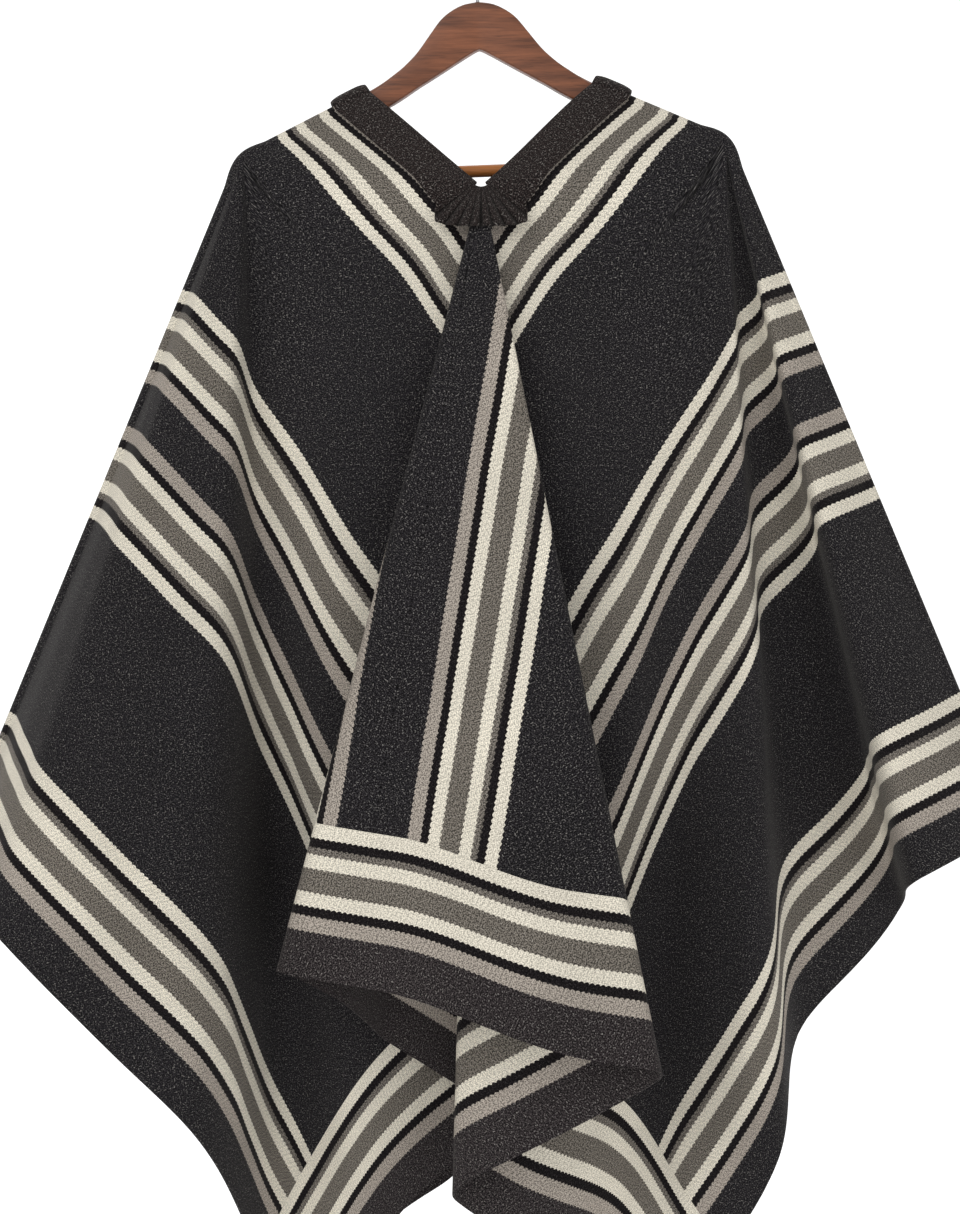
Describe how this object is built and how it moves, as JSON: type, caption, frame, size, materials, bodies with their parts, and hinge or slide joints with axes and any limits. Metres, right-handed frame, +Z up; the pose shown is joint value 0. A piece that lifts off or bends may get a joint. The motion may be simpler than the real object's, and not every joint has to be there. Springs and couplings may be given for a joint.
{
  "type": "andean poncho on a wooden hanger",
  "caption": "Striped charcoal wool poncho with a dark neck band and gathered gusset, hanging on a contoured wooden hanger.",
  "frame": {"origin": "inside top of the hanger's steel hook, where a rail holds it", "axes": "+Z up, -Y out of the front, +X to the right as seen from the front"},
  "size_m": [0.9667, 0.3934, 1.3147],
  "materials": {
    "cloth": "brushed wool",
    "border": "brushed wool",
    "neck_band": "brushed wool",
    "hanger_wood": "satin varnish",
    "bar_wood": "satin",
    "hook_steel": "polished"
  },
  "bodies": {
    "root": {"panel_left": "cloth", "panel_right": "cloth", "border_front": "border", "border_back": "border", "collar_left": "neck_band", "collar_right": "neck_band", "gusset_front": "neck_band", "gusset_back": "neck_band", "hanger_body": "hanger_wood", "hanger_bar": "bar_wood", "hanger_hook": "hook_steel"}
  },
  "joints": []
}
